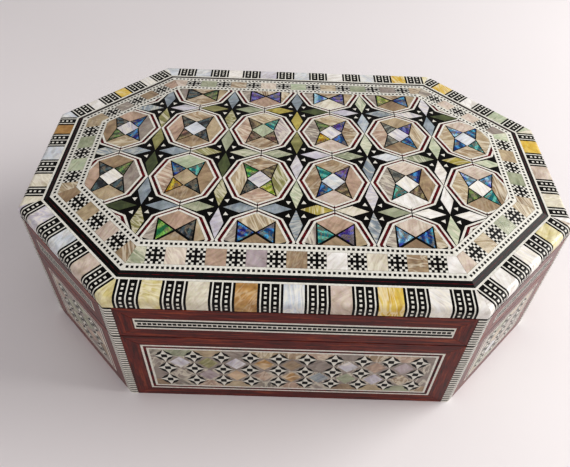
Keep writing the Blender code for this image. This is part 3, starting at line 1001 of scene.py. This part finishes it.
def make_field():
    """Octagons and stars on a black ground, cut off at the inner thread."""
    octagons = Inlay([PEARL, PAUA, BONE, RED, BLACK], seed=160)
    stars = Inlay([PEARL, BONE], seed=170)
    for row, colours in enumerate(OCTAGONS):
        for column, words in enumerate(colours):
            fill_octagon(octagons, field_place(column - 2.5, 0.5 - row), words)
    for row, colours in enumerate(CUT_OCTAGONS):
        for column, words in enumerate(colours):
            centre = field_place(column - 2.5, 1.5 - 3 * row)
            fill_cut_octagon(octagons, centre, 2 * row - 1, words)
    for row, colours in enumerate(STARS):
        for column, words in enumerate(colours):
            fill_star(stars, field_place(column - 3, 1 - row), words)
        for column in range(6):
            link = rectangle((-0.2, -2.6), (0.2, 2.6))
            centre = field_place(column - 2.5, 1 - row)
            octagons.add(shifted(link, centre), BLACK, level=SET_IN)
    for name, inlay in (("field_octagons", octagons), ("field_stars", stars)):
        inlay.keep_inside(octagon(FIELD_INSET + 0.12))
        inlay.deepen()
        inlay.crease_at_mitres()
        inlay.lay(on_top)
        inlay.write(name, "lid", "pearl_inlay")

    rings = [FIELD_INSET + 0.1 + (HALF_DEPTH - FIELD_INSET) * step / 14 for step in range(13)]
    profile = [(inset, top_height(inset) - 1.7) for inset in reversed(rings)]
    profile += [(inset, top_height(inset) - GROUND_DROP) for inset in rings]
    add_piece(
        "field_ground", loft(profile, False), [BLACK], "lid", "ebony_band", node="top_field_panel")


# ---------------------------------------------------------------- walls

# Shell diamonds of the front mosaic, upper row and lower row from the left
FRONT_DIAMONDS = (
    "lilac olive lilac amber tan taupe lilac rose mauve",
    "taupe mauve peach rose amber slate sage lilac tan")
DIAMOND_CHOICE = ("lilac", "taupe", "tan", "mauve", "rose", "sage", "peach", "ice", "sand")
BED_CHOICE = ("taupe", "sage", "rose", "sand", "taupe", "smoke", "tan")


def star_points(wide, tall):
    """A four-pointed star with hollow sides, and the dark slip that lies in its upper right side."""
    hollow, reach, side = 1.42, 0.58, 0.78
    glue = 0.08
    star = []
    for turn in range(4):
        along, across = (wide, tall) if turn % 2 == 0 else (tall, wide)
        ends = (math.cos(turn * math.pi / 2), math.sin(turn * math.pi / 2))
        points = [(along, 0.0), (along * reach, side), (hollow, hollow), (side, across * reach)]
        star += [(x * ends[0] - y * ends[1], x * ends[1] + y * ends[0]) for x, y in points]
    slip = [
        (wide * 0.95, 0.3), (wide * 0.72, 1.45), (2.6, 2.55), (1.45, tall * 0.7), (0.3, tall * 0.95),
        (side + glue, tall * reach), (hollow + 0.07, hollow + 0.07), (wide * reach, side + glue)]
    return star, slip


def mosaic_star(inlay, centre, cell):
    """Bone star with an ebony square at its heart and four ebony slips in its hollow sides."""
    chance = inlay.chance
    size = chance.uniform(0.95, 1.03)
    star, slip = star_points(cell[0] * 0.36 * size, cell[1] * 0.475 * size)
    tilt = Matrix.Rotation(chance.uniform(-0.05, 0.05), 2)
    centre = (centre[0] + chance.uniform(-0.3, 0.3), centre[1] + chance.uniform(-0.2, 0.2))

    def place(points, mirror=(1, 1)):
        turned = [tuple(tilt @ Vector((x * mirror[0], y * mirror[1]))) for x, y in points]
        return shifted(turned, centre)
    inlay.add(place(star), BONE, level=SET_IN)
    heart = rectangle((-1.25, -1.2), (1.25, 1.2))
    inlay.add(place(heart), BLACK, level=2 * SET_IN)
    for across in (-1, 1):
        for up in (-1, 1):
            inlay.add(place(slip, (across, up)), BLACK, level=SET_IN)


def fill_mosaic(inlay, low, high, columns, diamonds):
    """Stars in rows and columns, a shell diamond between each four, on a bed of darker shell; round
    each diamond the taupe bed shows as slivers of painted shade beside the stars' curved ebony slips.
    """
    cell = ((high[0] - low[0]) / columns, (high[1] - low[1]) / MOSAIC_ROWS)
    for row in range(MOSAIC_ROWS + 1):
        for column in range(columns + 1):
            corner = (low[0] + column * cell[0], low[1] + row * cell[1])
            inside = 0 < row < MOSAIC_ROWS and 0 < column < columns
            bed_low = [max(corner[k] - cell[k] / 2, low[k]) for k in (0, 1)]
            bed_high = [min(corner[k] + cell[k] / 2, high[k]) for k in (0, 1)]
            # Inside the mosaic the taupe bed shows only as slivers round each diamond: painted shade
            # beside the stars' curved ebony slips. At the edges the bed is plain shell of its own
            # colour.
            bed = "taupe" if inside else inlay.chance.choice(BED_CHOICE)
            inlay.shell(rectangle(bed_low, bed_high), bed, gap=0.02, level=-SET_IN)
            if not inside:
                continue
            if diamonds:
                colour = diamonds[MOSAIC_ROWS - 1 - row].split()[column - 1]
            else:
                colour = inlay.chance.choice(DIAMOND_CHOICE)
            across, up = cell[0] * 0.37, cell[1] * 0.45
            points = [(across, 0.0), (0.0, up), (-across, 0.0), (0.0, -up)]
            inlay.shell(shifted(points, corner), colour, gap=0.0)
    for row in range(MOSAIC_ROWS):
        for column in range(columns):
            centre = (low[0] + (column + 0.5) * cell[0], low[1] + (row + 0.5) * cell[1])
            mosaic_star(inlay, centre, cell)


def make_mosaic(index, side):
    """Panel of a base wall: bone, red and bone lines round a mosaic of stars and diamonds."""
    matrix, length = side_frame(index)
    half = length / 2 - STILE
    outline = rectangle((-half, PANEL_LOW), (half, PANEL_HIGH))
    inlay = Inlay([PEARL, BONE, BLACK, RED], seed=200 + index)
    inlay.add(outline, BLACK, level=-GROUND_DROP)
    room = inlay.rings(outline, [[width] * 4 for width in PANEL_LINES], [BONE, RED, BONE])
    columns = max(3, round((room[1].x - room[0].x) / MOSAIC_PITCH))
    diamonds = FRONT_DIAMONDS if side == "front" else None
    fill_mosaic(inlay, tuple(room[0]), tuple(room[2]), columns, diamonds)
    inlay.finish(
        on_wall, f"base_mosaic_{side}", "base", "side_mosaic", matrix, f"base_inlay_{side}")


def make_strip(index, side):
    """Strip of a lid wall: bone edges, two ebony lines and a bone line with ebony squares."""
    matrix, length = side_frame(index)
    half = length / 2 - STILE
    outline = rectangle((-half, STRIP_LOW), (half, STRIP_HIGH))
    inlay = Inlay([BONE, BLACK], seed=220 + index)
    height = STRIP_HIGH - STRIP_LOW
    inlay.add(outline, BONE)
    middle = (STRIP_LOW + STRIP_HIGH) / 2
    end = half - 0.7
    line_half = height * 0.085
    for sign in (-1, 1):
        centre = middle + sign * height * 0.27
        line = rectangle((-end, centre - line_half), (end, centre + line_half))
        inlay.add(line, BLACK, level=SET_IN)
    dot_row(inlay, rectangle, end, middle, 0.78, 0.66)
    inlay.finish(on_wall, f"lid_strip_{side}", "lid", "side_strip", matrix, f"lid_inlay_{side}")


def add_stick(bm, outline, front, back, along, chance):
    """A stick drawn as an outline on the wall, from y = front to y = back, with its grain."""
    grain = bm.loops.layers.uv.get("grain") or bm.loops.layers.uv.new("grain")
    face = bm.faces.new([bm.verts.new((x, front, z)) for x, z in outline])
    deep = extrude(bm, [face], (0.0, back - front, 0.0))
    start = Vector((chance.uniform(0.0, 900.0), chance.uniform(0.0, 90.0)))
    stick_faces = {f for vert in deep + list(face.verts) for f in vert.link_faces}
    for f in stick_faces:
        for loop in f.loops:
            place = loop.vert.co
            lengthways, across = (place.x, place.z) if along == "X" else (place.z, place.x)
            loop[grain].uv = start + Vector((lengthways, across + 0.7 * place.y))


def write_wall(kind, bm, index, body, node=None):
    """Turn a wall's wood to its place, slope its rim at the back and write it."""
    bm.transform(side_frame(index)[0])
    if SIDES[index].startswith("back"):
        stop_bevel(bm, body)
    name = f"{body}_{kind}_{SIDES[index]}"
    return add_piece(name, bm, [ROSEWOOD], body, "walnut_frame", node=node)


def make_frame(index, side, body, low, high, room_low, room_high):
    """Four mitred rosewood sticks round the panel of a wall, let in flush with its face."""
    length = side_frame(index)[1]
    chance = random.Random(f"{body} {side}")
    outer = rectangle((CORNER_STRIP - length / 2, low), (length / 2 - CORNER_STRIP, high))
    inner = rectangle((STILE - length / 2, room_low), (length / 2 - STILE, room_high))
    bm = bmesh.new()
    for k in range(4):
        after = (k + 1) % 4
        stick = [outer[k], outer[after], inner[after], inner[k]]
        add_stick(bm, stick, 0.0, VENEER, "X" if k % 2 == 0 else "Z", chance)
    edges = [edge for edge in bm.edges if edge.calc_face_angle() > 0.2]
    bmesh.ops.bevel(
        bm, geom=edges, offset=0.1, offset_type="OFFSET", affect="EDGES", segments=1, profile=0.5,
        material=-1)
    return write_wall("frame", bm, index, body)


def make_core(index, side, body, low, high):
    """Mitred board behind the frame and the panel of a wall."""
    length = side_frame(index)[1]
    chance = random.Random(f"core {body} {side}")
    bm = bmesh.new()
    half = length / 2
    add_stick(bm, rectangle((-half, low), (half, high)), VENEER, WALL, "X", chance)
    cut_mitres(bm, length)
    return write_wall("core", bm, index, body, f"{body}_wall_{side}")


def make_corner(index, body, low, high):
    """Bone and ebony leaves stacked into a striped strip that wraps a corner."""
    corner = Vector(octagon(0.0)[index])
    centre = Vector(octagon(CORNER_ROUND)[index])
    turns = [math.radians(45.0 * (index - 1)), math.radians(45.0 * index)]
    along = [Vector((math.cos(turn), math.sin(turn))) for turn in turns]
    inward = [Vector((-math.sin(turn), math.cos(turn))) for turn in turns]
    reach = CORNER_STRIP - 0.05
    outline = [corner - along[0] * reach]
    arc_steps = 5
    for step in range(arc_steps + 1):
        turn = turns[0] + (turns[1] - turns[0]) * step / arc_steps
        outline.append(centre + Vector((math.sin(turn), -math.cos(turn))) * CORNER_ROUND)
    outline.append(corner + along[1] * reach)
    outline.append(outline[-1] + inward[1] * VENEER)
    outline.append(Vector(octagon(VENEER)[index]))
    outline.append(outline[0] + inward[0] * VENEER)
    pairs = round((high - low) / (STRIPE_BLACK + STRIPE_BONE))
    step_height = (high - low) / pairs
    black = step_height * STRIPE_BLACK / (STRIPE_BLACK + STRIPE_BONE)
    bm = bmesh.new()
    phase = bm.faces.layers.float.new("phase")
    chance = random.Random(300 + index)
    for pair in range(pairs):
        foot = low + pair * step_height
        levels = (foot, foot + step_height - black, foot + step_height)
        for material, (start, end) in enumerate(zip(levels, levels[1:])):
            face = bm.faces.new([bm.verts.new((*point, start)) for point in outline])
            face.material_index = material
            face[phase] = chance.random()
            extrude(bm, [face], (0.0, 0.0, end - start))
    if index in (4, 5):
        stop_bevel(bm, body)
    add_piece(f"{body}_corner_{index + 1}", bm, [BONE, BLACK], body, "bone_thread")


LEAF_THICK = 1.0
POCKET_CLEAR = 2.0


def hinge_pocket(label, body):
    """Room for a hinge leaf and its barrel in a back rim."""
    leaf = f"hinge_{label}_{body}_leaf"
    leaf_low, leaf_high = node_low(leaf), node_high(leaf)
    barrel = leaf_high.y - HINGE_Y + FIT
    rim = BASE_TOP if body == "base" else LID_LOW
    away = -1 if body == "base" else 1
    levels = sorted((rim + away * (LEAF_THICK + FIT), rim - away * POCKET_CLEAR))
    low = Vector((leaf_low.x - FIT, leaf_low.y - FIT, levels[0]))
    high = Vector((leaf_high.x + FIT, HINGE_Y, levels[1]))
    room = block(high - low)
    bmesh.ops.translate(room, vec=(high + low) / 2, verts=room.verts)
    rod = bmesh.new()
    bmesh.ops.create_cone(
        rod, cap_ends=True, segments=32, radius1=barrel, radius2=barrel, depth=high.x - low.x)
    bmesh.ops.rotate(rod, matrix=Matrix.Rotation(math.pi / 2, 3, "Y"), verts=rod.verts)
    bmesh.ops.translate(rod, vec=((low.x + high.x) / 2, HINGE_Y, HINGE_Z), verts=rod.verts)
    return room, rod


def make_walls():
    bodies = (
        ("base", node_low("base_wall_front").z, BASE_TOP, PANEL_LOW, PANEL_HIGH),
        ("lid", LID_LOW, LID_TOP, STRIP_LOW, STRIP_HIGH))
    for body, low, high, room_low, room_high in bodies:
        for index, side in enumerate(SIDES):
            core = make_core(index, side, body, low, high)
            around = make_frame(index, side, body, low, high, room_low, room_high)
            if side == "back":
                for label in ("left", "right"):
                    for piece in (core, around):
                        for tool in hinge_pocket(label, body):
                            carve(piece, tool)
            make_corner(index, body, low, high)
    for index, side in enumerate(SIDES):
        make_mosaic(index, side)
        make_strip(index, side)


# ---------------------------------------------------------------- linings, hinges, felt

def crown(bm, edge, swell, ripple):
    """Swell the upper or lower face of a pad away from its edge, with soft uneven ripples."""
    reach, ripples_per_mm = 14.0, 0.035
    for vert in bm.verts:
        depth = inset_at(vert.co.x, vert.co.y) - edge
        share = min(max(depth / reach, 0.0), 1.0)
        soft = noise.noise(Vector((vert.co.x, vert.co.y, 0.0)) * ripples_per_mm)
        vert.co.z += swell * (1.0 - (1.0 - share) ** 2) + ripple * soft * share


def pad_rings(edge, flat, face, rise):
    """Profile of a pad from its flat side to its crowned side; rise says which way it faces."""
    thick = abs(face - flat)
    rounds, round_in, round_down = 4, thick * 0.5, thick * 0.55
    rings, ring_width = 15, 4.4
    profile = [(edge + 30.0, flat), (edge + 0.4, flat)]
    for step in range(rounds + 1):
        angle = step / rounds * math.pi / 2
        profile.append(
            (edge + round_in * (1.0 - math.cos(angle)),
             face - rise * round_down * (1.0 - math.sin(angle))))
    profile += [(edge + round_in + (ring + 1) * ring_width, face) for ring in range(rings)]
    return profile


PAD_ROOM = 0.5


def make_velvet():
    """Velvet pads in the floor and the lid, and velvet glued round the walls."""
    pads = (
        ("velvet_floor_pad", "base_floor_pad", "base", 1),
        ("velvet_lid_pad", "lid_lining_pad", "lid", -1))
    for name, node, body, rise in pads:
        low, high = node_low(node), node_high(node)
        edge = HALF_DEPTH - high.y
        flat, face = (low.z, high.z - PAD_ROOM) if rise > 0 else (high.z, low.z + PAD_ROOM)
        bm = loft(pad_rings(edge, flat, face, rise), False)
        bmesh.ops.triangulate(bm, faces=[face for face in bm.faces if len(face.verts) > 4])
        bmesh.ops.subdivide_edges(bm, edges=bm.edges[:], cuts=2, use_grid_fill=True)
        crown(bm, edge, rise * 0.35, 0.12)
        pad = add_piece(name, bm, [VELVET], body, "velvet_lining", node=node)
        soften(pad)
    bands = (
        ("velvet_wall_lining", "base_wall_lining", "base", 1),
        ("velvet_lid_lining", "lid_wall_lining", "lid", -1))
    for name, node, body, rise in bands:
        low, high = node_low(node).z, node_high(node).z
        outer = HALF_DEPTH - node_high(node).y
        thick = 1.0
        foot, rim = (low, high) if rise > 0 else (high, low)
        profile = [(outer, foot)]
        for step in range(5):
            angle = step / 4 * math.pi
            profile.append(
                (outer + thick / 2 - thick / 2 * math.cos(angle),
                 rim - rise * thick / 2 * (1.0 - math.sin(angle))))
        profile.append((outer + thick, foot))
        lining = add_piece(name, loft(profile, True), [VELVET], body, "velvet_lining", node=node)
        soften(lining, 35.0)


def make_felt():
    """Felt sheet glued under the floor, with a cut and softened edge."""
    low, high = node_low("underside_felt"), node_high("underside_felt")
    edge = HALF_DEPTH - high.y
    soft = 0.25
    profile = [(edge, high.z), (edge, low.z + soft), (edge + soft, low.z), (edge + 12.0, low.z)]
    add_piece(
        "felt_sheet", loft(profile, False), [FELT], "base", "underside_felt", node="underside_felt")


def make_screws():
    """Countersunk brass screws with a slot, each left turned to its own angle."""
    chance = random.Random(400)
    for node in sorted(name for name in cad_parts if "_screw_" in name):
        body = "base" if "_base_" in node else "lid"
        low, high = node_low(node), node_high(node)
        top = Vector(((low.x + high.x) / 2, (low.y + high.y) / 2, high.z if body == "base" else low.z))
        head = (high.x - low.x) / 2
        length = high.z - low.z
        softened = head * 0.12
        profile = [
            (0.0, 0.0), (head - softened, 0.0), (head, -softened), (head * 0.5, -head * 0.75),
            (head * 0.5, head - length), (0.0, -length)]
        bm = bmesh.new()
        section = [bm.verts.new((x, 0.0, z)) for x, z in profile]
        for first, second in zip(section, section[1:]):
            bm.edges.new((first, second))
        bmesh.ops.spin(
            bm, geom=bm.verts[:] + bm.edges[:], cent=(0.0, 0.0, 0.0), axis=(0.0, 0.0, 1.0),
            angle=2 * math.pi, steps=24)
        bmesh.ops.remove_doubles(bm, verts=bm.verts[:], dist=TOUCH)
        if body == "lid":
            bmesh.ops.rotate(bm, matrix=Matrix.Rotation(math.pi, 3, "X"), verts=bm.verts[:])
        bmesh.ops.translate(bm, vec=top, verts=bm.verts[:])
        screw = add_piece(
            node.replace("hinge", "brass"), bm, [BRASS], body, "hinge_brass", node=node)
        slot = block((head * 2.4, head * 0.3, head * 0.5))
        turn = Matrix.Rotation(chance.uniform(0.0, math.pi), 3, "Z")
        bmesh.ops.rotate(slot, matrix=turn, verts=slot.verts[:])
        bmesh.ops.translate(slot, vec=top, verts=slot.verts[:])
        carve(screw, slot)
        soften(screw, 30.0)


def finish_packed_parts():
    """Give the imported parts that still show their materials."""
    for name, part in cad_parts.items():
        if part.hide_render:
            continue
        finish = BRASS if name.startswith("hinge") else BARE_WOOD
        part.data.materials.clear()
        part.data.materials.append(finish)
        if name.startswith("hinge"):
            soften(part, 35.0)


# ---------------------------------------------------------------- floor, light and camera

def make_floor():
    """Plain pale table top."""
    material = make_material("table_top_white", table_top, Roughness=0.5, IOR=1.45)
    bm = bmesh.new()
    bmesh.ops.create_grid(bm, x_segments=1, y_segments=1, size=3.0)
    write_object("table_top", bm, [material])


def add_light(name, place, size, energy, colour):
    """A rectangular light that points at the box."""
    lamp = bpy.data.lights.new(name, "AREA")
    lamp.shape = "RECTANGLE"
    lamp.size, lamp.size_y = size
    lamp.energy = energy
    lamp.color = linear(colour)[:3]
    light = bpy.data.objects.new(name, lamp)
    light.location = place
    towards = Vector((0.0, 0.0, 0.03)) - Vector(place)
    light.rotation_euler = towards.to_track_quat("-Z", "Y").to_euler()
    bpy.context.scene.collection.objects.link(light)


def make_light():
    """A broad soft window light from the right and a dim pale room round it."""
    world = bpy.data.worlds.new("room")
    bpy.context.scene.world = world
    world.use_nodes = True
    background = world.node_tree.nodes["Background"]
    background.inputs["Color"].default_value = linear("#DAD6D6")
    background.inputs["Strength"].default_value = 0.48
    add_light("window", (0.85, 0.12, 0.58), (0.7, 0.6), 8.8, "#FFFDFA")
    add_light("ceiling", (-0.1, -0.2, 1.3), (1.0, 1.0), 2.0, "#F8F8FF")
    add_light("room", (-0.45, -0.95, 0.45), (1.0, 0.6), 1.7, "#FFF6EE")


def make_camera():
    """Camera in front of the box and above it, a little to the left and tilted."""
    camera = bpy.data.cameras.new("camera")
    camera.lens = 36.73
    camera.sensor_width = 36.0
    camera.shift_x = -0.006
    camera.shift_y = -0.0264
    camera.clip_start = 0.01
    view = bpy.data.objects.new("camera", camera)
    turns = ((-0.82, "Z"), (43.63, "X"), (2.44, "Z"))
    aside, down, tilt = (Matrix.Rotation(math.radians(turn), 4, axis) for turn, axis in turns)
    view.matrix_world = Matrix.Translation((-0.0062, -0.2099, 0.2576)) @ aside @ down @ tilt
    bpy.context.scene.collection.objects.link(view)
    bpy.context.scene.camera = view
    bpy.context.scene.view_settings.view_transform = "Standard"
    bpy.context.scene.view_settings.look = "Medium High Contrast"


make_border()
make_threads()
make_black_band()
make_check_band()
make_field()
make_walls()
make_velvet()
make_felt()
make_screws()
finish_packed_parts()
make_floor()
make_light()
make_camera()
